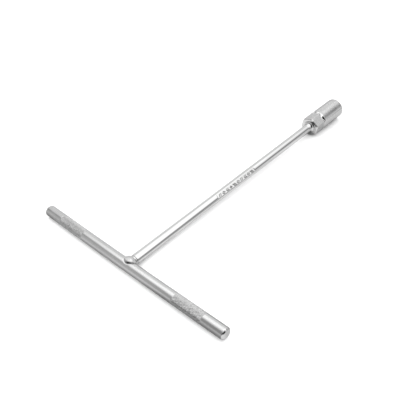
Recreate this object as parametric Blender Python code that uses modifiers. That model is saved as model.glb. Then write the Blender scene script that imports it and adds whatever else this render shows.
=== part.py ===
"""T-handle socket wrench: a knurled cross bar welded to a long rod that carries a hexagon socket.

Frame: metres, +Z up. The origin is the centre of the floor of the socket's hexagon recess, where
the head of a bolt bottoms. +Y runs along the rod and out of the recess, +X along the cross bar.
Lengths along the rod are counted from the tee point, where the axes of bar and rod meet.
"""

import math

import bmesh
import bpy
from mathutils import Matrix

# ---------------------------------------------------------------- driving dimensions
GAP = 0.0003  # clearance between neighbouring solids
SEGMENTS = 64  # facets round every turned shape
CUTTER_OVERRUN = 0.004  # how far a cutter passes the end faces of the socket

BAR_LENGTH = 0.2024
BAR_RADIUS = 0.0050
BAR_END_ROUND = 0.0010
BAR_END_STEPS = 4
KNURL_INNER = 0.0515  # distance from the rod's axis to the inner end of a knurled band
KNURL_OUTER = 0.0807  # and to its outer end
KNURL_RISE = 0.00010  # how far the band stands above the bar
KNURL_RAMP = 0.0006  # length of the slope at each end of the band

SPIGOT_RADIUS = 0.0030  # turned end of the rod, in the bar's blind hole
SPIGOT_END = 0.0010  # how near to the bar's axis it reaches
SPIGOT_CHAMFER = 0.0004
SPIGOT_BORE_RADIUS = SPIGOT_RADIUS + GAP
NECK_START = 0.0066  # shoulder of the rod, just past the weld
NECK_CHAMFER = 0.0004
COLLAR_END = 0.0080  # end of the short collar at the shoulder
COLLAR_GROOVE_DEPTH = 0.00025
COLLAR_GROOVE_STEP = 0.0003  # length of the groove's floor and of each of its flanks
SHAFT_RADIUS = 0.00425
SHAFT_END = 0.2680  # the rod's end inside the socket
SHAFT_END_CHAMFER = 0.0006
SHAFT_BORE_RADIUS = SHAFT_RADIUS + GAP

PANEL_START = 0.1040  # flattened panel on the rod
PANEL_END = 0.1600
PANEL_DISTANCE = 0.00400  # from the rod's axis to the panel
PANEL_ANGLE = 52.0  # degrees from +X towards +Z
PANEL_CUTTER_THICKNESS = 0.004
PANEL_CUTTER_WIDTH = 0.012

SOCKET_BACK = 0.2540
SOCKET_MOUTH = 0.3022
SOCKET_RADIUS = 0.0101
SOCKET_BACK_CHAMFER = 0.0014
SOCKET_MOUTH_ROUND = 0.0014
SOCKET_MOUTH_STEPS = 5
BORE_POINT_DEPTH = 0.0012  # height of the conical end of the rod's bore

HEX_ACROSS_FLATS = 0.0178  # outer hexagon at the back of the socket
HEX_APOTHEM = HEX_ACROSS_FLATS / 2.0
HEX_ANGLE = 48.0  # direction of one flat, degrees from +X towards +Z
HEX_OVERLAP = 0.006  # how far the hexagonal limit runs on past the shoulder
SHOULDER_START = 0.2665  # shoulder on the middle of a flat
SHOULDER_END = 0.2696  # and at the round nose
NOSE_LIMIT_INSET = 0.0006  # how far the shoulder's cone runs on inside the flats
NOSE_LIMIT_MARGIN = 0.0015  # and outside the round nose

RECESS_ACROSS_FLATS = 0.0141  # for a 14 mm hexagon
RECESS_DEPTH = 0.0180
LEAD_IN_RADIUS = 0.0083  # radius of the countersink at the mouth
LEAD_IN_REACH = 0.0030  # reach of its 45 degree cone to either side of the mouth

BEAD_TOE_RADIUS = 0.0058  # weld bead at the bar
BEAD_NECK_RADIUS = 0.0038  # and at the rod's shoulder
BEAD_START = 0.0004  # inside the bar, before the bar's clearance is cut away
BEAD_END = 0.0063
BEAD_SWELL_POWER = 0.62  # a lower power makes a fuller bead
BEAD_STEPS = 10
BAR_CLEARANCE_REACH = 0.020  # half length of the cutter that clears the bar

FLARE_START = 0.2465  # flared weld at the back of the socket
FLARE_START_RADIUS = 0.0049
FLARE_END = SOCKET_BACK - GAP
FLARE_END_RADIUS = 0.0061
FLARE_POWER = 1.6  # a higher power makes a more hollow flare
FLARE_STEPS = 6

ALONG_X = Matrix.Rotation(math.radians(90.0), 4, "Y")  # local Z becomes world +X
ALONG_Y = Matrix.Rotation(math.radians(-90.0), 4, "X")  # local Z becomes world +Y

# ---------------------------------------------------------------- scene and collections
for old in list(bpy.data.objects):
    bpy.data.objects.remove(old, do_unlink=True)
for old in list(bpy.data.collections):
    bpy.data.collections.remove(old)

parts = bpy.data.collections.new("t_handle_socket_wrench")
cutters = bpy.data.collections.new("cutters")
for collection in (parts, cutters):
    bpy.context.scene.collection.children.link(collection)

# The tee point carries every piece, so that the recess floor lands on the origin.
tee_point = bpy.data.objects.new("tee_point", None)
tee_point.location = (0.0, RECESS_DEPTH - SOCKET_MOUTH, 0.0)
parts.objects.link(tee_point)


# ---------------------------------------------------------------- materials
def metal(name, grey, roughness):
    """A Principled BSDF for plated steel."""
    material = bpy.data.materials.new(name)
    material.use_nodes = True
    shader = material.node_tree.nodes["Principled BSDF"]
    shader.inputs["Base Color"].default_value = (grey, grey, grey, 1.0)
    shader.inputs["Metallic"].default_value = 1.0
    shader.inputs["Roughness"].default_value = roughness
    return material


SATIN = metal("satin_chrome", grey=0.66, roughness=0.30)
ROD = metal("rod_chrome", grey=0.82, roughness=0.12)
WELD = metal("plated_weld", grey=0.72, roughness=0.20)
WELD_DULL = metal("plated_flare", grey=0.70, roughness=0.24)


# ---------------------------------------------------------------- profiles
# A profile holds (radius, height) points that run down the outer side of a turned solid.
def capped(outline):
    """Close an outline to the axis with a flat face at its top and at its bottom."""
    return [(0.0, outline[0][1])] + outline + [(0.0, outline[-1][1])]


def rounded_corner(radius, height, rounding, steps):
    """A quarter round from the end face at `height` out to the side at `radius`."""
    points = []
    for i in range(steps + 1):
        angle = math.radians(90.0 - 90.0 * i / steps)
        points.append(
            (
                radius - rounding + rounding * math.cos(angle),
                height - rounding + rounding * math.sin(angle),
            )
        )
    return points


def sleeve(top, bottom, bore_radius, steps, radius_at):
    """Closed profile of a bored ring; radius_at takes 0 at the top to 1 at the bottom."""
    outer = []
    for i in range(steps + 1):
        t = i / steps
        outer.append((radius_at(t), top + (bottom - top) * t))
    return outer + [(bore_radius, bottom), (bore_radius, top)]


# ---------------------------------------------------------------- builders
def add_object(name, shape, matrix, material=None):
    """Make an object of a bmesh: a piece if it has a material, a hidden cutter if not."""
    mesh = bpy.data.meshes.new(name)
    shape.to_mesh(mesh)
    shape.free()
    obj = bpy.data.objects.new(name, mesh)
    obj.parent = tee_point
    obj.matrix_basis = matrix
    if material is None:
        cutters.objects.link(obj)
        obj.hide_render = True
        obj.display_type = "WIRE"
    else:
        parts.objects.link(obj)
        mesh.materials.append(material)
    return obj


def turned(name, profile, rotation, material=None, closed=False):
    """A solid turned from a profile; a closed profile makes a ring."""
    shape = bmesh.new()
    points = [shape.verts.new((radius, 0.0, height)) for radius, height in profile]
    for first, second in zip(points, points[1:]):
        shape.edges.new((first, second))
    if closed:
        shape.edges.new((points[-1], points[0]))
    obj = add_object(name, shape, rotation, material)
    screw = obj.modifiers.new("turn", "SCREW")
    screw.axis = "Z"
    screw.angle = math.radians(360.0)
    screw.steps = SEGMENTS
    screw.render_steps = SEGMENTS
    screw.use_merge_vertices = True
    screw.merge_threshold = 0.00001
    screw.use_smooth_shade = True
    return obj


def hexagon_cutter(name, apothem, start, end):
    """A hexagonal prism along +Y with one flat facing HEX_ANGLE."""
    shape = bmesh.new()
    corner_radius = apothem / math.cos(math.pi / 6)
    bmesh.ops.create_cone(
        shape,
        cap_ends=True,
        segments=6,
        radius1=corner_radius,
        radius2=corner_radius,
        depth=end - start,
    )
    # Bring the middle of a flat to local +X, then on to its angle. The turn is negative
    # because local Y becomes world -Z once local Z is laid along +Y.
    side = next(face for face in shape.faces if abs(face.normal.z) < 0.5)
    lean = math.atan2(side.normal.y, side.normal.x)
    bmesh.ops.rotate(
        shape,
        verts=shape.verts,
        cent=(0.0, 0.0, 0.0),
        matrix=Matrix.Rotation(-lean - math.radians(HEX_ANGLE), 3, "Z"),
    )
    middle = Matrix.Translation((0.0, (start + end) / 2.0, 0.0))
    return add_object(name, shape, middle @ ALONG_Y)


def boolean(obj, other, operation):
    modifier = obj.modifiers.new(operation.lower() + "_" + other.name, "BOOLEAN")
    modifier.operation = operation
    modifier.solver = "EXACT"
    modifier.object = other


# ---------------------------------------------------------------- cross bar
def build_cross_bar():
    """Round bar with two raised bands and a blind hole for the rod's spigot."""
    raised = BAR_RADIUS + KNURL_RISE
    half = rounded_corner(BAR_RADIUS, BAR_LENGTH / 2.0, BAR_END_ROUND, BAR_END_STEPS) + [
        (BAR_RADIUS, KNURL_OUTER),
        (raised, KNURL_OUTER - KNURL_RAMP),
        (raised, KNURL_INNER + KNURL_RAMP),
        (BAR_RADIUS, KNURL_INNER),
    ]
    mirrored = [(radius, -height) for radius, height in reversed(half)]
    cross_bar = turned("cross_bar", capped(half + mirrored), ALONG_X, SATIN)

    hole_outline = [
        (SPIGOT_BORE_RADIUS, BAR_RADIUS * 1.6),  # well clear of the bar's surface
        (SPIGOT_BORE_RADIUS, SPIGOT_END - GAP),
    ]
    spigot_hole = turned("spigot_hole", capped(hole_outline), ALONG_Y)
    boolean(cross_bar, spigot_hole, "DIFFERENCE")


# ---------------------------------------------------------------- rod
def build_shaft():
    """Rod with a spigot, a grooved collar and one flattened panel."""
    groove_radius = SHAFT_RADIUS - COLLAR_GROOVE_DEPTH
    outline = [
        (SHAFT_RADIUS - SHAFT_END_CHAMFER, SHAFT_END),
        (SHAFT_RADIUS, SHAFT_END - SHAFT_END_CHAMFER),
        (SHAFT_RADIUS, COLLAR_END + 2 * COLLAR_GROOVE_STEP),
        (groove_radius, COLLAR_END + COLLAR_GROOVE_STEP),
        (groove_radius, COLLAR_END),
        (SHAFT_RADIUS, COLLAR_END - COLLAR_GROOVE_STEP),
        (SHAFT_RADIUS, NECK_START + NECK_CHAMFER),
        (SHAFT_RADIUS - NECK_CHAMFER, NECK_START),
        (SPIGOT_RADIUS, NECK_START),
        (SPIGOT_RADIUS, SPIGOT_END + SPIGOT_CHAMFER),
        (SPIGOT_RADIUS - SPIGOT_CHAMFER, SPIGOT_END),
    ]
    shaft = turned("shaft", capped(outline), ALONG_Y, ROD)

    block = bmesh.new()
    bmesh.ops.create_cube(block, size=1.0)
    bmesh.ops.scale(
        block,
        verts=block.verts,
        vec=(PANEL_CUTTER_THICKNESS, PANEL_END - PANEL_START, PANEL_CUTTER_WIDTH),
    )
    panel_matrix = (
        Matrix.Translation((0.0, (PANEL_START + PANEL_END) / 2.0, 0.0))
        @ Matrix.Rotation(-math.radians(PANEL_ANGLE), 4, "Y")
        @ Matrix.Translation((PANEL_DISTANCE + PANEL_CUTTER_THICKNESS / 2.0, 0.0, 0.0))
    )
    boolean(shaft, add_object("panel_cutter", block, panel_matrix), "DIFFERENCE")


# ---------------------------------------------------------------- socket
def build_outer_limit():
    """Hexagonal prism up to the shoulder, joined to a full round past it."""
    hexagon = hexagon_cutter(
        "hexagon_limit",
        HEX_APOTHEM,
        SOCKET_BACK - CUTTER_OVERRUN,
        SHOULDER_END + HEX_OVERLAP,
    )
    # The shoulder is a cone, carried on past both of its ends.
    slope = (SOCKET_RADIUS - HEX_APOTHEM) / (SHOULDER_END - SHOULDER_START)
    wide_radius = SOCKET_RADIUS + NOSE_LIMIT_MARGIN
    outline = [
        (wide_radius, SOCKET_MOUTH + CUTTER_OVERRUN),
        (wide_radius, SHOULDER_END + NOSE_LIMIT_MARGIN / slope),
        (HEX_APOTHEM - NOSE_LIMIT_INSET, SHOULDER_START - NOSE_LIMIT_INSET / slope),
    ]
    boolean(hexagon, turned("nose_limit", capped(outline), ALONG_Y), "UNION")
    return hexagon


def build_socket():
    """Socket with a hexagonal back, a round nose, a bore for the rod and a hexagon recess."""
    outline = rounded_corner(
        SOCKET_RADIUS, SOCKET_MOUTH, SOCKET_MOUTH_ROUND, SOCKET_MOUTH_STEPS
    ) + [
        (SOCKET_RADIUS, SOCKET_BACK + SOCKET_BACK_CHAMFER),
        (SOCKET_RADIUS - SOCKET_BACK_CHAMFER, SOCKET_BACK),
    ]
    socket = turned("socket", capped(outline), ALONG_Y, SATIN)
    boolean(socket, build_outer_limit(), "INTERSECT")

    bore_floor = SHAFT_END + GAP
    bore_profile = [
        (0.0, bore_floor + BORE_POINT_DEPTH),
        (SHAFT_BORE_RADIUS, bore_floor),
        (SHAFT_BORE_RADIUS, SOCKET_BACK - CUTTER_OVERRUN),
        (0.0, SOCKET_BACK - CUTTER_OVERRUN),
    ]
    boolean(socket, turned("rod_bore", bore_profile, ALONG_Y), "DIFFERENCE")

    recess = hexagon_cutter(
        "recess_hexagon",
        RECESS_ACROSS_FLATS / 2.0,
        SOCKET_MOUTH - RECESS_DEPTH,
        SOCKET_MOUTH + CUTTER_OVERRUN,
    )
    boolean(socket, recess, "DIFFERENCE")

    lead_in_outline = [
        (LEAD_IN_RADIUS + LEAD_IN_REACH, SOCKET_MOUTH + LEAD_IN_REACH),
        (LEAD_IN_RADIUS - LEAD_IN_REACH, SOCKET_MOUTH - LEAD_IN_REACH),
    ]
    lead_in = turned("recess_lead_in", capped(lead_in_outline), ALONG_Y)
    boolean(socket, lead_in, "DIFFERENCE")


# ---------------------------------------------------------------- welds
def bead_radius(t):
    """Convex bead: drawn in to the neck of the rod, widest at the bar."""
    swell = math.sin(0.5 * math.pi * t) ** BEAD_SWELL_POWER
    return BEAD_NECK_RADIUS + (BEAD_TOE_RADIUS - BEAD_NECK_RADIUS) * swell


def build_handle_weld_bead():
    """Weld bead round the spigot, hollowed to saddle the bar."""
    profile = sleeve(BEAD_END, BEAD_START, SPIGOT_BORE_RADIUS, BEAD_STEPS, bead_radius)
    bead = turned("handle_weld_bead", profile, ALONG_Y, WELD, closed=True)
    clearance_outline = [
        (BAR_RADIUS + GAP, BAR_CLEARANCE_REACH),
        (BAR_RADIUS + GAP, -BAR_CLEARANCE_REACH),
    ]
    bar_clearance = turned("bar_clearance", capped(clearance_outline), ALONG_X)
    boolean(bead, bar_clearance, "DIFFERENCE")


def flare_radius(t):
    """Concave flare: widest at the back face of the socket, closing on the rod."""
    open_share = (1.0 - t) ** FLARE_POWER
    return FLARE_START_RADIUS + (FLARE_END_RADIUS - FLARE_START_RADIUS) * open_share


def build_socket_weld_bead():
    """Flared weld round the rod, behind the socket."""
    profile = sleeve(FLARE_END, FLARE_START, SHAFT_BORE_RADIUS, FLARE_STEPS, flare_radius)
    turned("socket_weld_bead", profile, ALONG_Y, WELD_DULL, closed=True)


build_cross_bar()
build_shaft()
build_socket()
build_handle_weld_bead()
build_socket_weld_bead()
bpy.context.view_layer.update()
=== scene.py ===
"""Looks of a T-handle socket wrench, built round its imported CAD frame.

A knurled cross bar is welded to a rod that carries a hexagon socket. Lengths are millimetres counted
from the tee point, where the axes of bar and rod meet: X along the bar, Y along the rod towards the
socket, Z up. `to_row` moves them into the row frame, in metres. Floor and studio are in metres.
"""

import math

import bpy
import numpy as np
from mathutils import Matrix, Vector


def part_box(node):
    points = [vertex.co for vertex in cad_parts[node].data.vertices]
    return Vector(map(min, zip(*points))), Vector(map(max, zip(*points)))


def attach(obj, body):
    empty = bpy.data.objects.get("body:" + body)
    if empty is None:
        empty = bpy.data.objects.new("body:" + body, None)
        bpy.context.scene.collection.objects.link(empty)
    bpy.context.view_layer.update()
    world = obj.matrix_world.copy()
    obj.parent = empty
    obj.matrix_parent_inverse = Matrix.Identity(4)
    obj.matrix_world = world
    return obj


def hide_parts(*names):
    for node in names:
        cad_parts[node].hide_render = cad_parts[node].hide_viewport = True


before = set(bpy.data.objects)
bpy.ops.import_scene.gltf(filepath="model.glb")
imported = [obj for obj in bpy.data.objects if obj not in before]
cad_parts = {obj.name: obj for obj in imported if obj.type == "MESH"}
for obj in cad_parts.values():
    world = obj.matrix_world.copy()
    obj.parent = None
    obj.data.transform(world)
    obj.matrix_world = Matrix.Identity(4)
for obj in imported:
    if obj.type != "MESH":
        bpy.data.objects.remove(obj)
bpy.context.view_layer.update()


# ---------------------------------------------------------------- driving dimensions
bar_low, bar_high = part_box("cross_bar")
socket_low, socket_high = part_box("socket")
TEE = (bar_low + bar_high) / 2.0  # tee point in the row frame, metres

BAR_HALF = (bar_high.x - bar_low.x) * 500.0  # half the bar's length
SOCKET_MOUTH = (socket_high.y - TEE.y) * 1000.0 + 0.3
SOCKET_BACK = (socket_low.y - TEE.y) * 1000.0

BAR_R = 5.0
ROD_R = 4.25


# ---------------------------------------------------------------- mesh helpers
def to_row(points):
    return np.asarray(points, float) * 0.001 + np.array([TEE.x, TEE.y, TEE.z])


def smoothstep(low, high, x):
    t = np.clip((np.asarray(x, float) - low) / (high - low), 0.0, 1.0)
    return t * t * (3.0 - 2.0 * t)


def bell(x, centre, width):
    return np.exp(-(((x - centre) / width) ** 2))


def full_turn(count):
    return np.arange(count) * 2.0 * math.pi / count


def ring(radius, y, angles):
    """Points round the rod's axis; angles run from +X towards +Z."""
    return np.stack([radius * np.cos(angles), np.full(len(angles), y), radius * np.sin(angles)], 1)


def skin(rings, split=None):
    """Closed surface over rings of points, with a fan over each end ring. `split(row, column)` tells
    how a square is cut: 0 not at all, 1 or 2 along one or the other diagonal."""
    rings = np.asarray(rings, float)
    rows, cols = rings.shape[:2]
    faces = []
    for j in range(rows - 1):
        for i in range(cols):
            n = (i + 1) % cols
            a, b = j * cols + i, j * cols + n
            c, d = b + cols, a + cols
            style = split(j, i) if split else 0
            if style == 0:
                faces.append((a, b, c, d))
            elif style == 1:
                faces += [(a, b, c), (a, c, d)]
            else:
                faces += [(a, b, d), (b, c, d)]
    points = np.vstack([rings.reshape(-1, 3), rings[0].mean(0), rings[-1].mean(0)])
    first_centre, last_centre = rows * cols, rows * cols + 1
    base = (rows - 1) * cols
    for i in range(cols):
        n = (i + 1) % cols
        faces += [(first_centre, n, i), (last_centre, base + i, base + n)]
    return points, faces


def outward(points, faces):
    """Faces turned so that the closed surface's normals point out."""
    corners = np.array([(f[0], f[m], f[m + 1]) for f in faces for m in range(1, len(f) - 1)])
    a, b, c = points[corners[:, 0]], points[corners[:, 1]], points[corners[:, 2]]
    volume = np.einsum("ij,ij->", a, np.cross(b, c))
    return faces if volume > 0 else [tuple(reversed(f)) for f in faces]


def add_piece(name, rings, material, node, slot, crease, split=None, **fields):
    """One piece of the tool. `crease` is the sharp-edge angle in degrees; each field becomes a point
    attribute, 0 at the two fan centres."""
    points, faces = skin(rings, split)
    mesh = bpy.data.meshes.new(name)
    mesh.from_pydata(to_row(points).tolist(), [], outward(points, faces))
    mesh.shade_smooth()
    mesh.set_sharp_from_angle(angle=math.radians(crease))
    for key, values in fields.items():
        values = np.asarray(values, np.float32).ravel()
        padded = np.zeros(len(points), np.float32)
        padded[: len(values)] = values
        layer = mesh.attributes.new(key, "FLOAT", "POINT")
        layer.data.foreach_set("value", padded)
    mesh.materials.append(material)
    obj = bpy.data.objects.new(name, mesh)
    bpy.context.scene.collection.objects.link(obj)
    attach(obj, "root")
    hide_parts(node)


def add_disc(name, turns, centre_height, rims):
    """Round sheet; rims are (radius, height) from the inside out."""
    points = [(0.0, 0.0, centre_height)]
    for radius, height in rims:
        for k in range(turns):
            angle = 2.0 * math.pi * k / turns
            points.append((radius * math.cos(angle), radius * math.sin(angle), height))
    faces = []
    for k in range(turns):
        n = (k + 1) % turns
        faces.append((0, 1 + k, 1 + n))
        for rim in range(len(rims) - 1):
            a, b = 1 + rim * turns + k, 1 + rim * turns + n
            faces.append((a, a + turns, b + turns, b))
    mesh = bpy.data.meshes.new(name)
    mesh.from_pydata(points, [], faces)
    obj = bpy.data.objects.new(name, mesh)
    bpy.context.scene.collection.objects.link(obj)
    return obj


# ---------------------------------------------------------------- node helpers
class Net:
    """Shorthand for wiring a node tree. Operands are sockets or plain numbers."""

    def __init__(self, owner):
        owner.use_nodes = True
        self.tree = owner.node_tree
        self.tree.nodes.clear()

    def add(self, kind, **settings):
        node = self.tree.nodes.new(kind)
        for key, value in settings.items():
            setattr(node, key, value)
        return node

    def link(self, output, target):
        self.tree.links.new(output, target)

    def feed(self, target, value):
        if hasattr(value, "links"):
            self.link(value, target)
        else:
            target.default_value = value

    def math(self, operation, first, second, clamp=False):
        node = self.add("ShaderNodeMath", operation=operation, use_clamp=clamp)
        for target, value in zip(node.inputs, (first, second, 0.0)):
            self.feed(target, value)
        return node.outputs[0]

    def chain(self, operation, values):
        result = values[0]
        for value in values[1:]:
            result = self.math(operation, result, value)
        return result

    def plus(self, *terms):
        return self.chain("ADD", terms)

    def times(self, *factors):
        return self.chain("MULTIPLY", factors)

    def minus(self, first, second):
        return self.math("SUBTRACT", first, second)

    def sway(self, noise, swing):
        """Noise centred on zero and scaled to `swing` from end to end."""
        return self.times(self.minus(noise, 0.5), swing)

    def dim(self, value, mask, share):
        """Takes `share` of the value away where the mask is 1."""
        return self.times(value, self.minus(1.0, self.times(mask, share)))

    def lift(self, value, mask, share):
        """Adds `share` of the value where the mask is 1."""
        return self.times(value, self.plus(1.0, self.times(mask, share)))

    def ease(self, value, span, to=(0.0, 1.0)):
        """Smooth step: to[0] at span[0], to[1] at span[1]; the span may run downwards."""
        node = self.add("ShaderNodeMapRange", interpolation_type="SMOOTHSTEP")
        settings = (value, *span, *to)
        for key, setting in zip(("Value", "From Min", "From Max", "To Min", "To Max"), settings):
            self.feed(node.inputs[key], setting)
        return node.outputs["Result"]

    def mix(self, factor, at_zero, at_one):
        node = self.add("ShaderNodeMix", data_type="FLOAT")
        self.feed(node.inputs[0], factor)
        self.feed(node.inputs[2], at_zero)
        self.feed(node.inputs[3], at_one)
        return node.outputs[0]

    def noise(self, vector, scale, stretch=(1, 1, 1), detail=3.0, rough=0.5):
        mapping = self.add("ShaderNodeMapping")
        mapping.inputs["Scale"].default_value = stretch
        self.link(vector, mapping.inputs["Vector"])
        node = self.add("ShaderNodeTexNoise")
        node.inputs["Scale"].default_value = scale
        node.inputs["Detail"].default_value = detail
        node.inputs["Roughness"].default_value = rough
        self.link(mapping.outputs[0], node.inputs["Vector"])
        return node.outputs["Fac"]

    def axes(self, vector):
        split = self.add("ShaderNodeSeparateXYZ")
        self.link(vector, split.inputs[0])
        return split.outputs

    def field(self, name):
        return self.add("ShaderNodeAttribute", attribute_name=name).outputs["Fac"]


# ---------------------------------------------------------------- chrome
# Noise stretch that draws the lines out along X, along Y, or not at all.
ALONG_X, ALONG_Y, NO_GRAIN = (0.035, 1, 1), (1, 0.035, 1), (1, 1, 1)


def chrome(name, tone, rough, grain, streak, swell, pits, mottle=0.05, dirt_and_shade_share=0.55):
    """Chrome plate over worked steel: drawing lines, a slight orange-peel swell, dull patches and small
    pits. The mesh says where it is worn (`wear`), dirty or darkened with painted shade
    (`grime`) or left as forged (`dull`)."""
    material = bpy.data.materials.new(name)
    net = Net(material)
    out = net.add("ShaderNodeOutputMaterial")
    shader = net.add("ShaderNodeBsdfPrincipled")
    net.link(shader.outputs[0], out.inputs["Surface"])
    shader.inputs["Metallic"].default_value = 1.0

    where = net.add("ShaderNodeTexCoord").outputs["Object"]
    scuff_grain = tuple(min(1.0, s * 4) for s in grain)
    lines = net.noise(where, scale=2600.0, stretch=grain, detail=4.0, rough=0.6)
    scuffs = net.noise(where, scale=700.0, stretch=scuff_grain, rough=0.55)
    waves = net.noise(where, scale=190.0, detail=2.0)
    patches = net.noise(where, scale=60.0, rough=0.6)
    mottling = net.noise(where, scale=1100.0, detail=2.0, rough=0.6)
    forging = net.noise(where, scale=520.0, detail=4.0, rough=0.65)
    wear, grime, dull = net.field("wear"), net.field("grime"), net.field("dull")

    # Pits: dots at Voronoi cell centres, only where a coarser noise is high.
    cells = net.add("ShaderNodeTexVoronoi", feature="F1")
    cells.inputs["Scale"].default_value = 330.0
    net.link(where, cells.inputs["Vector"])
    dot = net.ease(cells.outputs["Distance"], span=(0.05, 0.10), to=(1.0, 0.0))
    chosen = net.ease(net.noise(where, scale=240.0, detail=1.0), span=(0.63, 0.70))
    pit = net.math("MULTIPLY", net.times(dot, chosen), pits, clamp=True)

    # Roughness that each fault adds at full strength.
    roughness = net.plus(
        rough,
        net.sway(patches, swing=rough * 0.7),
        net.sway(scuffs, swing=rough * 0.6),
        net.times(wear, 0.10),
        net.times(dull, 0.34),
        net.times(grime, 0.35),
    )
    roughness = net.math("ADD", roughness, net.times(pit, 0.3), clamp=True)
    net.link(roughness, shader.inputs["Roughness"])

    # Neutral colour, darker in dirt and painted shade, pits and dull patches.
    shade = net.plus(
        1.0,
        net.sway(patches, swing=0.14),
        net.sway(lines, swing=0.10 * streak),
        net.sway(mottling, swing=mottle),
    )
    for mask, share in ((grime, dirt_and_shade_share), (pit, 0.6), (wear, 0.06), (dull, 0.06)):
        shade = net.dim(shade, mask, share)
    tint = net.add("ShaderNodeCombineColor")
    for channel in range(3):
        net.link(net.times(shade, tone), tint.inputs[channel])
    net.link(tint.outputs[0], shader.inputs["Base Color"])

    # Relief: height or depth of each feature in metres.
    relief = net.plus(
        net.times(lines, 0.0000012 * streak),
        net.times(scuffs, 0.0000016 * streak),
        net.times(waves, 0.0000060 * swell),
    )
    relief = net.minus(relief, net.times(pit, 0.000012))
    relief = net.plus(relief, net.times(forging, 0.000035, dull))
    bump = net.add("ShaderNodeBump")
    bump.inputs["Strength"].default_value = 1.0
    bump.inputs["Distance"].default_value = 1.0
    net.link(relief, bump.inputs["Height"])
    net.link(bump.outputs[0], shader.inputs["Normal"])
    return material


BAR_METAL = chrome(
    "drawn_bar_chrome",
    tone=0.69, rough=0.17, grain=ALONG_X, streak=1.4, swell=1.2, pits=0.6, mottle=0.22,
)
ROD_METAL = chrome(
    "bright_rod_chrome", tone=0.70, rough=0.08, grain=ALONG_Y, streak=0.8, swell=0.7, pits=0.5
)
SOCKET_METAL = chrome(
    "forged_socket_chrome",
    tone=0.69, rough=0.19, grain=NO_GRAIN, streak=1.2, swell=2.4, pits=0.8, mottle=0.85,
)
# Dirt and painted shade take the bead almost to black where their mask is full.
BEAD_METAL = chrome(
    "plated_bead_chrome",
    tone=0.69, rough=0.09, grain=NO_GRAIN, streak=0.6, swell=2.2, pits=0.8, mottle=0.20, dirt_and_shade_share=0.94,
)
FLARE_METAL = chrome(
    "plated_flare_chrome", tone=0.66, rough=0.14, grain=NO_GRAIN, streak=0.8, swell=2.0, pits=0.8
)

# ---------------------------------------------------------------- cross bar
KNURL_STARTS = 28  # diamonds round the bar
KNURL_STEPS = 8  # mesh steps in one diamond
KNURL_ROWS = 120  # mesh steps along one knurled band
KNURL_DEPTH = 0.20
KNURL_SWELL = 0.03  # rolling raises the crests this much
KNURL_FADE = 0.6  # length over which the knurl runs out at either end
KNURL_IN, KNURL_OUT = 51.5, 80.7
END_CHAMFER = 1.05
CHAMFER_IN = BAR_HALF - END_CHAMFER
WELD_PULL = 0.5  # the weld has drawn the bar's ends this far towards the socket
UNDERCUT_DEPTH, UNDERCUT_FROM_TOE, UNDERCUT_WIDTH = 0.13, 0.45, 0.50
UNDERCUT_REACH = 14.0  # the groove is only worked out this close to the tee

# Toe of the weld on the bar: an oval in the bar's unrolled surface, a little off centre.
TOE_X, TOE_HALF = 0.9, 6.6
TOE_TURN = math.radians(110.0)

BAR_COLS = KNURL_STARTS * KNURL_STEPS
BAR_THETA = full_turn(BAR_COLS)  # from +Y towards +Z
# No two rolled diamonds are alike.
UNEVEN = np.random.default_rng(11).random((KNURL_STARTS, KNURL_STARTS))


def plain(stations):
    return [(x, BAR_R, -1) for x in stations]


# Rows of one half of the bar, from the tee outwards: x, radius, knurl row number or -1.
HALF_ROWS = [
    *plain(np.arange(0.125, 11.0, 0.25)),
    *plain(np.linspace(12.0, KNURL_IN - 0.8, 14)),
    *plain((KNURL_IN - 0.4, KNURL_IN - 0.15)),
    *[
        (KNURL_IN + (KNURL_OUT - KNURL_IN) * k / KNURL_ROWS, BAR_R, k)
        for k in range(KNURL_ROWS + 1)
    ],
    *plain((KNURL_OUT + 0.15, KNURL_OUT + 0.4)),
    *plain(np.linspace(KNURL_OUT + 0.9, CHAMFER_IN - 0.5, 7)),
    (CHAMFER_IN - 0.12, BAR_R - 0.004, -1),
    (CHAMFER_IN, BAR_R - 0.04, -1),
    (CHAMFER_IN + 0.10, BAR_R - 0.11, -1),
    (BAR_HALF - 0.5 * END_CHAMFER, BAR_R - 0.5 * END_CHAMFER, -1),
    (BAR_HALF - 0.11, BAR_R - END_CHAMFER + 0.10, -1),
    (BAR_HALF - 0.04, BAR_R - END_CHAMFER, -1),
    (BAR_HALF - 0.004, BAR_R - END_CHAMFER - 0.12, -1),
    (BAR_HALF, BAR_R - END_CHAMFER - 0.4, -1),
    (BAR_HALF, 2.2, -1),
    (BAR_HALF, 0.9, -1),
]
half_knurl = [knurl_row for _, _, knurl_row in HALF_ROWS]
BAR_KNURL = half_knurl[::-1] + half_knurl


def undercut(x):
    """Depth of the shallow groove melted into the bar just outside the weld's toe."""
    psi = (BAR_THETA + math.pi) % (2.0 * math.pi) - math.pi
    a, b = (x - TOE_X) / TOE_HALF, psi / TOE_TURN
    rho = np.sqrt(a * a + b * b) + 1e-6
    slope = np.sqrt((a / TOE_HALF) ** 2 + (b / (TOE_TURN * BAR_R)) ** 2) / rho + 1e-6
    beyond_toe = (rho - 1.0) / slope  # mm along the surface, positive outside the oval
    return UNDERCUT_DEPTH * bell(beyond_toe, UNDERCUT_FROM_TOE, UNDERCUT_WIDTH)


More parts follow.
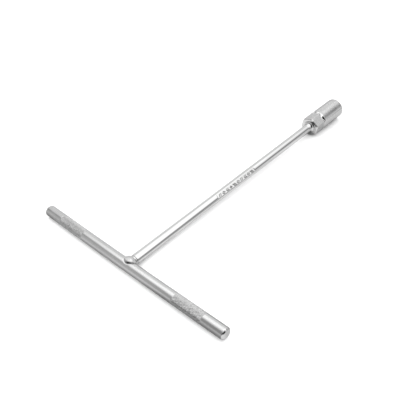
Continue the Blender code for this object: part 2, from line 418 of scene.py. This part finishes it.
def knurl(x, row):
    """Change of radius, wear, and dirt with painted shade round one knurled ring."""
    u = (np.arange(BAR_COLS) + row) / KNURL_STEPS
    v = (np.arange(BAR_COLS) - row) / KNURL_STEPS
    from_groove_u = np.abs(u - np.round(u)) * 2.0
    from_groove_v = np.abs(v - np.round(v)) * 2.0
    height = np.minimum(1.0, np.minimum(from_groove_u, from_groove_v) * 1.25)
    fade = smoothstep(KNURL_IN, KNURL_IN + KNURL_FADE, x)
    fade = fade * smoothstep(KNURL_OUT, KNURL_OUT - KNURL_FADE, x)
    diamond = [np.floor(w).astype(int) % KNURL_STARTS for w in (u, v)]
    odd = UNEVEN[diamond[0], diamond[1]]
    change = (KNURL_SWELL - KNURL_DEPTH * (1.0 - height) - 0.05 * odd * height) * fade
    wear = np.where(height > 0.95, 0.35, 0.05) * fade
    # Grooves are darkened by dirt and painted shade; some diamonds are darker at random.
    grime = ((1.0 - height) ** 1.5 * 0.22 + 0.38 * np.clip(odd - 0.62, 0.0, 1.0) / 0.38) * fade
    return change, wear, grime


def bar_half(sign):
    """Rings, wear, and dirt with painted shade of one half; sign is +1 towards +X."""
    rings, wears, grimes = [], [], []
    for x, radius, row in HALF_ROWS:
        r = np.full(BAR_COLS, radius)
        wear = np.zeros(BAR_COLS)
        grime = np.zeros(BAR_COLS)
        if row >= 0:
            change, wear, grime = knurl(x, row)
            r = r + change
        elif BAR_R - END_CHAMFER - 0.02 < radius < BAR_R - 0.02:
            wear = np.full(BAR_COLS, 0.4)
        elif x < UNDERCUT_REACH:
            r = r - undercut(sign * x)
        pull = WELD_PULL * (x / BAR_HALF) ** 2
        across = r * np.cos(BAR_THETA) + pull
        rings.append(np.stack([np.full(BAR_COLS, sign * x), across, r * np.sin(BAR_THETA)], 1))
        wears.append(wear)
        grimes.append(grime)
    return rings, wears, grimes


def knurl_split(j, i):
    """Knurled squares are split along the groove that crosses them."""
    here, following = BAR_KNURL[j], BAR_KNURL[j + 1]
    if here < 0 or following < 0:
        return 0
    rising = following > here  # row numbers grow with j on the +X half
    on_groove = (i + max(here, following)) % KNURL_STEPS == 0
    return 2 if rising == on_groove else 1


def build_cross_bar():
    rings, wear, grime = (
        left[::-1] + right for left, right in zip(bar_half(-1.0), bar_half(1.0))
    )
    add_piece(
        "cross_bar_body", rings, BAR_METAL, "cross_bar", "bar_chrome",
        crease=26.0, split=knurl_split, wear=wear, grime=grime,
    )


build_cross_bar()

# ---------------------------------------------------------------- rod
# A collar and a groove next to the weld, and a pressed flat with stamped marks further along.
MARKS_FROM, MARKS_TO = 105.5, 158.5  # the flat
MARKS_LEAD = 1.5  # from the flat's start to the first mark
MARKS_AT = 43.0  # direction the marks face, degrees from +X towards +Z
MARK_PITCH = 5.0
MARK_HALF = 1.6  # half the height of a mark, across the rod
MARK_DEPTH = 0.28
FLAT_AT = 8.0  # the flat faces this many degrees higher than the marks
FLAT_DEPTH = 0.40
NECK_GROOVE_Y = 7.72
ROD_STUB_R = 3.0  # inside the weld

dense = np.radians(np.linspace(MARKS_AT - 50.0, MARKS_AT + 50.0, 129))
sparse = np.radians(np.linspace(MARKS_AT + 50.0, MARKS_AT + 310.0, 53)[1:-1])
ROD_THETA = np.concatenate([dense, sparse])

ROD_STATIONS = [
    1.0, 3.0, 5.3,
    *np.linspace(5.9, 8.7, 36),
    *np.linspace(9.4, MARKS_FROM - 1.0, 34),
    *np.arange(MARKS_FROM - 0.6, MARKS_TO + 0.61, 0.14),
    *np.linspace(MARKS_TO + 1.1, 252.0, 34),
    256.0, 262.0, 266.9, 267.5,
]


# Stamped figures: height 0..1, with `along` and `across` the rod running -1..1 over a mark.
def inside(distance):
    return smoothstep(0.16, -0.16, distance)


def diamond_inside(along, across, size):
    reach = np.abs(along) / 0.92 + np.abs(across)
    return inside((reach - size) * 0.7)


def hollow_lozenge(along, across):
    return diamond_inside(along, across, 1.0) * (1.0 - diamond_inside(along, across, 0.48))


def full_lozenge(along, across):
    return diamond_inside(along, across, 0.95)


def two_strokes(along, across, centres, half_width):
    first, second = (inside(np.abs(along - centre) - half_width) for centre in centres)
    return np.maximum(first, second) * inside(np.abs(across) - 0.9)


def bars_leaning_on(along, across):
    return two_strokes(along - 0.35 * across, across, centres=(0.42, -0.42), half_width=0.20)


def bars_leaning_back(along, across):
    return bars_leaning_on(along, -across)


def chevrons(along, across):
    bend = along - 0.55 * np.abs(across)
    return two_strokes(bend, across, centres=(-0.55, 0.25), half_width=0.19)


MARKS = (
    bars_leaning_on, hollow_lozenge, chevrons, full_lozenge, bars_leaning_back,
    hollow_lozenge, bars_leaning_on, chevrons, hollow_lozenge, bars_leaning_back,
)


def rod_radius(y):
    if y < 5.85:
        return ROD_STUB_R
    radius = ROD_R + 0.05 * smoothstep(6.5, 6.8, y) * smoothstep(7.7, 7.4, y)
    radius -= 0.35 * (1.0 - smoothstep(6.1, 6.6, y))
    radius -= 0.24 * bell(y, NECK_GROOVE_Y, 0.20)
    if y > 266.9:
        radius -= 0.6
    return float(radius)


def build_rod():
    around = (np.degrees(ROD_THETA) - MARKS_AT + 180.0) % 360.0 - 180.0
    across = np.radians(around) * ROD_R / MARK_HALF
    flat_turn = np.clip(np.radians(around - FLAT_AT), -1.0, 1.0)
    rings, grimes = [], []
    for y in ROD_STATIONS:
        r = np.full(len(ROD_THETA), rod_radius(y))
        # Painted shade darkens the groove by the neck.
        grime = np.full(len(ROD_THETA), 0.6 * bell(y, NECK_GROOVE_Y, 0.22))
        if MARKS_FROM - 0.5 < y < MARKS_TO + 0.5:
            ends = smoothstep(MARKS_FROM - 0.3, MARKS_FROM + 0.5, y)
            ends = ends * smoothstep(MARKS_TO + 0.3, MARKS_TO - 0.5, y)
            r = np.minimum(r, (ROD_R - FLAT_DEPTH * ends) / np.cos(flat_turn))
            index = int((y - MARKS_FROM - MARKS_LEAD) // MARK_PITCH)
            if 0 <= index < len(MARKS):
                centre = MARKS_FROM + MARKS_LEAD + (index + 0.5) * MARK_PITCH
                figure = MARKS[index]((y - centre) / (MARK_PITCH * 0.44), across)
                r = r - MARK_DEPTH * figure
                grime = grime + smoothstep(0.15, 0.6, figure)
        rings.append(ring(r, y, ROD_THETA))
        grimes.append(np.clip(grime, 0.0, 1.0))
    add_piece(
        "rod_body", rings, ROD_METAL, "shaft", "rod_chrome",
        crease=40.0, wear=np.zeros_like(grimes), grime=grimes,
    )


build_rod()

# ---------------------------------------------------------------- weld bead between bar and rod
BEAD_COLS, BEAD_ROWS = 160, 44
BEAD_NECK_R, BEAD_NECK_Y = 4.1, 6.3
BEAD_PHI = full_turn(BEAD_COLS)
RIPPLES = ((2, 0.07), (3, 0.06), (5, 0.04), (9, 0.025))  # waves round the bead, height
RIPPLE_PHASE = np.random.default_rng(18).uniform(0.0, 2.0 * math.pi, 6)


def bead_ring(t):
    """t is 0 at the toe on the bar, 1 at the neck of the rod."""
    # The toe runs up and over the bar's crest.
    cos, sin = np.cos(BEAD_PHI), np.sin(BEAD_PHI)
    psi = TOE_TURN * sin
    toe = np.stack([TOE_X + TOE_HALF * cos, BAR_R * np.cos(psi), BAR_R * np.sin(psi)], 1)
    base = toe + (ring(BEAD_NECK_R, BEAD_NECK_Y, BEAD_PHI) - toe) * t
    # Crown: a dome that rises from the bar as a steep lip, stays level, then drops to the neck.
    out_toe = np.stack([cos * 0.75, np.cos(psi) * 0.8, np.sin(psi)], 1)
    out_neck = ring(1.0, 0.05, BEAD_PHI)
    out = out_toe + (out_neck - out_toe) * min(1.0, 2.5 * t)
    out = out / np.linalg.norm(out, axis=1)[:, None]
    lip = min(1.0, t / 0.16)
    height = 0.55 + 1.30 * sin ** 2 * (1.0 - 0.22 * cos)
    crown = height * (0.70 * lip + 0.30 * math.sin(0.5 * math.pi * min(1.0, t / 0.7)))
    crown = crown * math.sqrt(max(0.0, 1.0 - t ** 6.0))
    base = base + out * crown[:, None]
    # Frozen ripples and an uneven crown.
    ripple = 0.0
    for (count, size), phase in zip(RIPPLES, RIPPLE_PHASE):
        ripple = ripple + size * np.sin(count * BEAD_PHI + phase + 2.4 * t)
    return base + out * (ripple * math.sin(math.pi * t) ** 0.8)[:, None]


def build_handle_weld():
    shown = [bead_ring((k / BEAD_ROWS) ** 1.3) for k in range(BEAD_ROWS + 1)]
    # Hidden ends: inside the bar at one side, inside the rod at the other.
    inner_toe = shown[0].copy()
    inner_toe[:, [1, 2]] *= 0.86
    rings = [ring(2.9, 1.2, BEAD_PHI), inner_toe, *shown, ring(3.1, 5.95, BEAD_PHI)]
    share = np.concatenate([[1, 1], np.linspace(0, 1, BEAD_ROWS + 1) ** 1.3, [1]])
    # Dirt and painted shade along the toe, in the crease with the bar, more of it on the -X side.
    toe_dirt_and_shade = 0.75 * bell(share, 0.0, 0.035)
    grime = toe_dirt_and_shade[:, None] * (0.45 - 0.55 * np.minimum(0.0, np.cos(BEAD_PHI)))[None, :]
    # Painted reflection: the steep lip where the bead ends over the bar's crest is painted near black,
    # mirroring the camera.
    dark_reflection_along = np.exp(-((share / 0.23) ** 4))
    dark_reflection_round = bell(np.degrees(BEAD_PHI), 69.0, 27.0)
    grime = np.clip(grime + dark_reflection_along[:, None] * dark_reflection_round[None, :], 0.0, 1.0)
    wear = np.tile((0.5 * smoothstep(0.1, 0.5, share))[:, None], (1, BEAD_COLS)) * 0.5
    add_piece(
        "handle_weld", rings, BEAD_METAL, "handle_weld_bead", "weld_chrome",
        crease=50.0, wear=wear, grime=grime,
    )


build_handle_weld()

# ---------------------------------------------------------------- flared weld behind the socket
FLARE_COLS, FLARE_ROWS = 128, 48
FLARE_PHI = full_turn(FLARE_COLS)
FLARE_Y = 246.0
FILLET_Y, FILLET_R, FILLET_END = 250.4, 2.05, math.radians(74.0)
FILLET_FOOT = ROD_R + 0.24  # radius that the fillet's arc rises from
LIP_Y, LIP_START = 252.37, math.radians(16.0)


def flare_profile(t):
    """y and radius: a gentle swell, then a fillet turning up into a low collar at the socket."""
    if t < 0.45:
        u = t / 0.45
        return FLARE_Y + 4.8 * u, ROD_R - 0.02 + 0.30 * u * u
    if t < 0.85:
        angle = math.radians(12.0 + 62.0 * (t - 0.45) / 0.40)
        return (
            FILLET_Y + FILLET_R * math.sin(angle),
            FILLET_FOOT + FILLET_R * (1.0 - math.cos(angle)),
        )
    angle = math.radians(16.0 + 74.0 * (t - 0.85) / 0.15)
    y = LIP_Y + 0.55 * (math.sin(angle) - math.sin(LIP_START))
    collar_foot = FILLET_FOOT + FILLET_R * (1.0 - math.cos(FILLET_END))
    return y, collar_foot + 0.30 * (1.0 - math.cos(angle))


def build_socket_weld():
    rings = [ring(3.6, 246.2, FLARE_PHI)]  # hidden inside the rod
    share = [0.0]
    for k in range(FLARE_ROWS + 1):
        t = k / FLARE_ROWS
        y, radius = flare_profile(t)
        wobble = 0.045 * np.sin(3 * FLARE_PHI + 1.3 + 2.5 * t)
        wobble = wobble + 0.03 * np.sin(7 * FLARE_PHI + 4.0 * t)
        rings.append(ring(radius + wobble * math.sin(math.pi * t ** 0.8), y, FLARE_PHI))
        share.append(t)
    # The end is tucked into the socket.
    end_radius = np.linalg.norm(rings[-1][:, [0, 2]], axis=1)
    for depth, scale in ((0.15, 1.0), (0.2, 0.84)):
        rings.append(ring(end_radius * scale, SOCKET_BACK + depth, FLARE_PHI))
        share.append(0.9)
    share = np.array(share)
    add_piece(
        "socket_weld", rings, FLARE_METAL, "socket_weld_bead", "weld_chrome",
        crease=50.0,
        wear=np.tile((0.3 * share)[:, None], (1, FLARE_COLS)),
        # Painted shade where the collar meets the socket's rear face.
        grime=np.tile((0.35 * smoothstep(0.93, 1.0, share))[:, None], (1, FLARE_COLS)),
    )


build_socket_weld()

# ---------------------------------------------------------------- socket
SOCKET_COLS = 216
SOCKET_R = 10.1  # round nose
SOCKET_FLAT = 8.9  # half across flats of the outer hexagon
HEX_CORNER = 78.0  # direction of one corner, degrees from +X towards +Z
RECESS_FLAT = 7.05  # half across flats of the recess
RECESS_TOP, RECESS_FLOOR = SOCKET_MOUTH - 2.2, 284.2
SHOULDER_A, SHOULDER_B = 266.6, 269.4  # where the hexagon passes into the nose
REAR_Y = SOCKET_BACK - 0.45  # rear face, towards the bar
REAR_FACE = 8.40  # edge of the rear face; a turned chamfer cuts flats and corners from here
MOUTH_ROUND = 0.9
BORE_R = 4.55  # round the rod's end
BLEND = 0.22  # width over which two surfaces round into each other

SOCKET_THETA = np.radians(HEX_CORNER) + full_turn(SOCKET_COLS)
FROM_FLAT = (np.degrees(SOCKET_THETA) - (HEX_CORNER - 30.0) + 30.0) % 60.0 - 30.0
OUTER_HEX = SOCKET_FLAT / np.cos(np.radians(FROM_FLAT))
INNER_HEX = RECESS_FLAT / np.cos(np.radians(FROM_FLAT))

OUTER_STATIONS = [
    *np.linspace(REAR_Y + 0.08, REAR_Y + 2.7, 28),
    *np.linspace(SOCKET_BACK + 3.0, SHOULDER_A - 0.5, 14),
    *np.linspace(SHOULDER_A - 0.2, SHOULDER_B + 0.8, 40),
    *np.linspace(SHOULDER_B + 1.6, SOCKET_MOUTH - MOUTH_ROUND - 0.2, 22),
    *[
        SOCKET_MOUTH - MOUTH_ROUND * (1.0 - math.sin(math.radians(a)))
        for a in np.linspace(4, 88, 15)
    ],
]

# Back bore, then the rear face: radius, y, painted shade (in the crease round the weld's collar).
REAR_RINGS = (
    (0.6, 268.8, 0.0),
    (2.5, 268.8, 0.0),
    (4.5, 268.3, 0.0),
    (BORE_R, 262.0, 0.0),
    (BORE_R, SOCKET_BACK + 0.3, 0.0),
    (4.75, REAR_Y, 0.3),
    (6.0, REAR_Y, 0.2),
    (7.0, REAR_Y, 0.0),
    (REAR_FACE - 0.1, REAR_Y, 0.0),
    (REAR_FACE, REAR_Y, 0.0),
)


def soft_min(a, b, width):
    """The smaller of two lengths, rounded over where they meet."""
    h = np.clip(0.5 + 0.5 * (b - a) / width, 0.0, 1.0)
    return b + (a - b) * h - width * h * (1.0 - h)


def socket_outer(y):
    nose = np.full(SOCKET_COLS, SOCKET_R)
    from_mouth = SOCKET_MOUTH - y
    if from_mouth < MOUTH_ROUND:
        drop = MOUTH_ROUND - from_mouth
        nose = nose - MOUTH_ROUND + math.sqrt(max(0.0, MOUTH_ROUND ** 2 - drop ** 2))
    cone = REAR_FACE + (y - REAR_Y) * 1.02
    # The shoulder: the hexagon fades into the round nose over a concave fillet.
    t = np.clip((y - SHOULDER_A) / (SHOULDER_B - SHOULDER_A), 0.0, 1.4)
    rise = SOCKET_FLAT + (SOCKET_R - SOCKET_FLAT) * t ** 1.3 if t > 0 else SOCKET_FLAT - 0.25
    lifted = -soft_min(-OUTER_HEX, -np.full(SOCKET_COLS, rise), BLEND)
    body = soft_min(lifted, nose, BLEND)
    return soft_min(body, np.full(SOCKET_COLS, cone), 0.10)


def outer_finish(y):
    """Wear, dirt and painted shade, and dullness round the outside at y."""
    corner = np.clip((np.abs(FROM_FLAT) - 25.0) / 5.0, 0.0, 1.0) * (1.0 if y < SHOULDER_B else 0.0)
    rim = 0.6 * smoothstep(SOCKET_MOUTH - 2.0, SOCKET_MOUTH - 0.4, y)
    # The top of the nose just behind the mouth is painted darker.
    top = bell(np.degrees(SOCKET_THETA) % 360.0, 108.0, 26.0)
    grime = 0.42 * top * smoothstep(SOCKET_MOUTH - 9.0, SOCKET_MOUTH - 1.0, y)
    # The hexagon is as forged; the shoulder is polished brighter than the rest.
    dull = smoothstep(REAR_Y + 1.2, REAR_Y + 2.2, y)
    dull = dull * smoothstep(SHOULDER_A + 0.6, SHOULDER_A - 0.6, y)
    polish = smoothstep(SHOULDER_A + 0.1, SHOULDER_A + 0.7, y)
    polish = polish * smoothstep(SHOULDER_B + 0.9, SHOULDER_B + 0.4, y)
    return np.clip(0.5 * corner + rim, 0, 1), grime, dull - 0.35 * polish


def build_socket():
    rings, wears, grimes, dulls = [], [], [], []

    def add_ring(radius, y, wear=0.0, grime=0.0, dull=0.0):
        rings.append(ring(radius, y, SOCKET_THETA))
        for values, value in ((wears, wear), (grimes, grime), (dulls, dull)):
            values.append(np.broadcast_to(np.asarray(value, float), (SOCKET_COLS,)))

    for radius, y, grime in REAR_RINGS:
        add_ring(radius, y, grime=grime)
    for y in OUTER_STATIONS:
        add_ring(socket_outer(y), y, *outer_finish(y))
    # Mouth face and countersink.
    add_ring(SOCKET_R - MOUTH_ROUND - 0.05, SOCKET_MOUTH, wear=0.5)
    add_ring(8.38, SOCKET_MOUTH, wear=0.5)
    for k in range(6):
        sunk = 1.6 * k / 5.0
        add_ring(np.maximum(INNER_HEX, 8.3 - sunk), SOCKET_MOUTH - 0.05 - sunk, wear=0.4)
    # Hexagon walls and floor, painted darker deeper into the recess as shade.
    for k in range(8):
        t = k / 7.0
        y = RECESS_TOP + (RECESS_FLOOR + 0.3 - RECESS_TOP) * t
        add_ring(INNER_HEX, y, grime=0.2 + 0.4 * t)
    add_ring(INNER_HEX - 0.3, RECESS_FLOOR, grime=0.7)
    add_ring(INNER_HEX * 0.6, RECESS_FLOOR, grime=0.6)
    add_ring(0.8, RECESS_FLOOR, grime=0.6)
    add_piece(
        "socket_body", rings, SOCKET_METAL, "socket", "socket_chrome",
        crease=34.0, wear=wears, grime=grimes, dull=dulls,
    )


build_socket()

# ---------------------------------------------------------------- floor
# The tool rests on the bar's underside and on the socket's lower corner nearest the bar.
REST_DROP = 9.88 - BAR_R
REST_AT = 255.3
FLOOR_GAP = 0.03
FLOOR_RIMS = (0.25, 0.6, 1.2, 2.5, 6.0)  # metres
FLOOR_SEEN = 0.95  # brightness straight to the camera
FLOOR_MIRRORED = 0.47  # brightness that the metal sees, before the local changes


def floor_paper():
    """White to the camera. The metal sees it greyer, with painted shadows and patches of painted light
    near the tool; places are metres from the tee point."""
    material = bpy.data.materials.new("pale_floor")
    net = Net(material)
    out = net.add("ShaderNodeOutputMaterial")
    diffuse = net.add("ShaderNodeBsdfDiffuse")
    place_x, place_y, _ = net.axes(net.add("ShaderNodeNewGeometry").outputs["Position"])

    def ease_x(start, end, to=(0.0, 1.0)):
        return net.ease(place_x, span=(TEE.x + start, TEE.x + end), to=to)

    def ease_y(start, end, to=(0.0, 1.0)):
        return net.ease(place_y, span=(TEE.y + start, TEE.y + end), to=to)

    # Painted shadow: dimmer on the +X side of the rod, where its shadow falls, and painted shade on the
    # -Y side of the bar's +X half.
    beside_rod = net.times(
        ease_x(0.009, 0.052, to=(0.0, 0.50)),
        ease_y(0.11, 0.25, to=(1.0, 0.0)),
        ease_y(-0.002, 0.004),
    )
    beside_bar = net.times(ease_x(0.012, 0.040, to=(0.0, 0.32)), ease_y(0.003, -0.002))
    grey = net.times(net.minus(1.0, beside_rod), net.minus(1.0, beside_bar))
    # Painted shade: dimmer far beyond the socket.
    grey = net.times(grey, ease_y(0.34, 0.56, to=(1.0, 0.62)))
    # Painted light: brighter just behind the socket.
    behind_socket = net.times(ease_y(0.19, 0.225), ease_y(0.262, 0.25))
    grey = net.lift(grey, behind_socket, share=0.40)
    # Painted light: brighter straight under the rod.
    under_rod = net.times(
        net.times(ease_x(-0.008, -0.003), ease_x(0.022, 0.008)),
        net.times(ease_y(0.006, 0.014), ease_y(0.22, 0.17)),
    )
    grey = net.lift(grey, under_rod, share=0.50)
    # Painted shadow of the bar on the floor in front of it.
    along_bar = net.times(ease_y(-0.022, -0.009), ease_y(0.004, -0.001), ease_x(0.101, 0.098))
    grey = net.dim(grey, along_bar, share=0.32)
    # Painted light beyond the near end of the bar.
    beyond_near_end = net.times(ease_x(0.0995, 0.1012), ease_y(0.03, 0.015))
    grey = net.lift(grey, beyond_near_end, share=1.0)
    # Painted shade beyond the far end of the bar.
    far_end = net.times(ease_x(-0.082, -0.104), ease_y(0.03, 0.01))
    grey = net.dim(grey, far_end, share=0.36)
    # Deep contact shadow under the socket.
    contact = net.times(
        net.times(ease_y(0.244, 0.250), ease_y(0.305, 0.300)),
        net.times(ease_x(-0.011, -0.007), ease_x(0.009, 0.005)),
    )
    grey = net.dim(grey, contact, share=0.65)
    grey = net.times(grey, FLOOR_MIRRORED)
    seen = net.add("ShaderNodeLightPath").outputs["Is Camera Ray"]
    net.link(net.mix(seen, grey, FLOOR_SEEN), diffuse.inputs["Color"])
    net.link(diffuse.outputs[0], out.inputs["Surface"])
    return material


def build_floor():
    floor = add_disc("floor", 96, 0.0, [(radius, 0.0) for radius in FLOOR_RIMS])
    lean = math.atan2(REST_DROP, REST_AT)
    floor.rotation_euler = (-lean, 0.0, 0.0)
    drop = (BAR_R + FLOOR_GAP) * 0.001 / math.cos(lean)
    floor.location = (TEE.x, TEE.y, TEE.z - drop)
    floor.data.materials.append(floor_paper())


build_floor()

# ---------------------------------------------------------------- studio: softbox and soft walls
CAMERA_LEVEL = 1.3  # what the camera sees past the floor
DOME = 1.42  # even light that the pale walls throw on the table


def wall_light(net, dx, dy, dz, figure):
    # Wall towards +Y: pale towards -X, dim towards +X.
    pale = net.plus(
        net.ease(dz, span=(0.0, 0.36), to=(0.60, 0.90)),
        net.ease(dx, span=(-0.85, -0.68), to=(0.25, 0.0)),
    )
    # The dark band on the +X side climbs towards +Y; above it the wall meets the softbox.
    climb = net.plus(net.minus(dz, net.times(dy, 0.95)), 0.345)
    dark = net.plus(
        net.ease(climb, span=(-0.40, -0.02), to=(0.88, 0.30)),
        net.ease(climb, span=(0.03, 0.50), to=(0.0, 1.02)),
    )
    far_wall = net.mix(net.ease(dx, span=(-0.30, 0.30)), pale, dark)
    # Wall towards -Y: grey, a little paler at the table's edge.
    near_wall = net.plus(
        net.ease(dx, span=(-0.56, -0.36), to=(0.54, 0.30)),
        net.ease(dz, span=(0.0, 0.30), to=(0.16, 0.0)),
    )
    wall = net.mix(net.ease(dy, span=(-0.10, 0.20)), near_wall, far_wall)
    return net.mix(figure, wall, 0.02)


def figure_mask(net, dx, dy, dz):
    """A dark figure behind the camera, towards -Y and +X."""
    turned = net.minus(dy, net.ease(dx, span=(0.40, 0.75), to=(0.0, 0.36)))
    figure = net.times(net.ease(dx, span=(-0.27, -0.15)), net.ease(turned, span=(-0.06, -0.18)))
    top = net.ease(dx, span=(0.35, 0.55), to=(0.77, 0.87))
    return net.times(figure, net.ease(net.minus(top, dz), span=(0.0, 0.07)))


def softbox_light(net, ceiling_x, ceiling_y, right_part):
    """Brightest above the bar, fading towards -X and -Y."""
    glow = net.ease(ceiling_y, span=(0.74, 1.34), to=(1.40, 0.79))
    left_fade = net.mix(
        net.ease(ceiling_y, span=(0.25, 0.60)),
        net.ease(ceiling_x, span=(-1.15, -0.60), to=(0.35, 1.0)),
        net.ease(ceiling_x, span=(-1.50, -0.10), to=(0.55, 1.0)),
    )
    front_fade = net.ease(ceiling_y, span=(-0.90, 0.05), to=(0.38, 1.0))
    notch = net.times(
        net.ease(ceiling_x, span=(-0.50, -0.38)), net.ease(ceiling_y, span=(0.05, -0.60))
    )
    front_fade = net.dim(front_fade, notch, share=0.38)
    return net.times(glow, net.mix(right_part, front_fade, 1.08), left_fade)


def softbox_mask(net, ceiling_x, ceiling_y, right_part, figure, dz):
    front_edge = net.mix(
        right_part,
        net.ease(ceiling_y, span=(-1.15, -0.35)),
        net.ease(ceiling_y, span=(-1.15, -0.90)),
    )
    right_edge = net.mix(
        net.ease(ceiling_y, span=(-0.15, 0.15)), net.ease(ceiling_x, span=(1.25, 0.95)), 1.0
    )
    return net.times(
        net.ease(ceiling_y, span=(1.12, 1.40), to=(1.0, 0.0)),
        front_edge,
        right_edge,
        net.ease(ceiling_x, span=(-3.4, -1.6)),
        net.minus(1.0, figure),
        net.ease(dz, span=(0.02, 0.12)),
    )


def build_world():
    world = bpy.data.worlds.new("studio")
    bpy.context.scene.world = world
    net = Net(world)
    dx, dy, dz = net.axes(net.add("ShaderNodeTexCoord").outputs["Generated"])
    # Where a ray meets a ceiling one unit up.
    above = net.math("MAXIMUM", dz, 0.03)
    ceiling_x = net.math("DIVIDE", dx, above)
    ceiling_y = net.math("DIVIDE", dy, above)
    figure = figure_mask(net, dx, dy, dz)
    right_part = net.ease(ceiling_x, span=(-0.36, -0.20))
    studio = net.mix(
        softbox_mask(net, ceiling_x, ceiling_y, right_part, figure, dz),
        wall_light(net, dx, dy, dz, figure),
        softbox_light(net, ceiling_x, ceiling_y, right_part),
    )
    path = net.add("ShaderNodeLightPath")
    level = net.mix(path.outputs["Is Camera Ray"], studio, CAMERA_LEVEL)
    level = net.mix(path.outputs["Is Diffuse Ray"], level, DOME)
    background = net.add("ShaderNodeBackground")
    net.link(level, background.inputs["Color"])
    background.inputs["Strength"].default_value = 1.0
    out = net.add("ShaderNodeOutputWorld")
    net.link(background.outputs[0], out.inputs["Surface"])


def build_lamp():
    """The softbox as a lamp: wide and overhead, so shadows stay close under the tool."""
    data = bpy.data.lights.new("softbox", "AREA")
    data.shape = "DISK"
    data.size = 3.6
    data.energy = 16.0
    lamp = bpy.data.objects.new("softbox", data)
    bpy.context.scene.collection.objects.link(lamp)
    aim = Vector((TEE.x, TEE.y + 0.12, 0.0))
    lamp.location = aim + Vector((-0.25, 0.15, 1.6))
    lamp.rotation_euler = (aim - lamp.location).to_track_quat("-Z", "Y").to_euler()
    lamp.visible_glossy = False
    lamp.visible_camera = False


build_world()
build_lamp()

# ---------------------------------------------------------------- camera, and the hood the metal mirrors
# Columns are the camera's right, up and backward directions.
CAMERA_AXES = (
    (0.74361, -0.41712, 0.52254),
    (0.66790, 0.49937, -0.55185),
    (-0.03075, 0.75937, 0.64994),
)
CAMERA_FROM_TEE = (0.254772, -0.182643, 0.327319)
HOOD_IN_VIEW = (0.025, -0.045, 0.02)  # hood's place in the camera's axes
HOOD_RIMS = ((0.040, 0.02), (0.080, 0.012), (0.115, 0.0))  # radius, height


def build_camera():
    data = bpy.data.cameras.new("camera")
    data.sensor_width = 36.0
    data.lens = 51.185
    data.shift_x = -0.00125
    data.shift_y = 0.00075
    data.clip_start = 0.01
    data.clip_end = 50.0
    camera = bpy.data.objects.new("camera", data)
    bpy.context.scene.collection.objects.link(camera)
    view = Matrix(CAMERA_AXES).to_4x4()
    view.translation = Vector(CAMERA_FROM_TEE) + TEE
    camera.matrix_world = view
    bpy.context.scene.camera = camera
    return view


def build_hood(view):
    """Black cloth round the camera, seen only in the metal."""
    hood = add_disc("dark_hood", 64, 0.03, HOOD_RIMS)
    hood.matrix_world = view @ Matrix.Translation(HOOD_IN_VIEW)
    material = bpy.data.materials.new("black_cloth")
    material.use_nodes = True
    shader = material.node_tree.nodes["Principled BSDF"]
    shader.inputs["Base Color"].default_value = (0.012, 0.012, 0.012, 1.0)
    shader.inputs["Roughness"].default_value = 0.9
    hood.data.materials.append(material)
    hood.visible_camera = False
    hood.visible_diffuse = False
    hood.visible_shadow = False


build_hood(build_camera())
bpy.context.scene.view_settings.view_transform = "Standard"
bpy.context.scene.view_settings.look = "None"

bpy.context.view_layer.update()
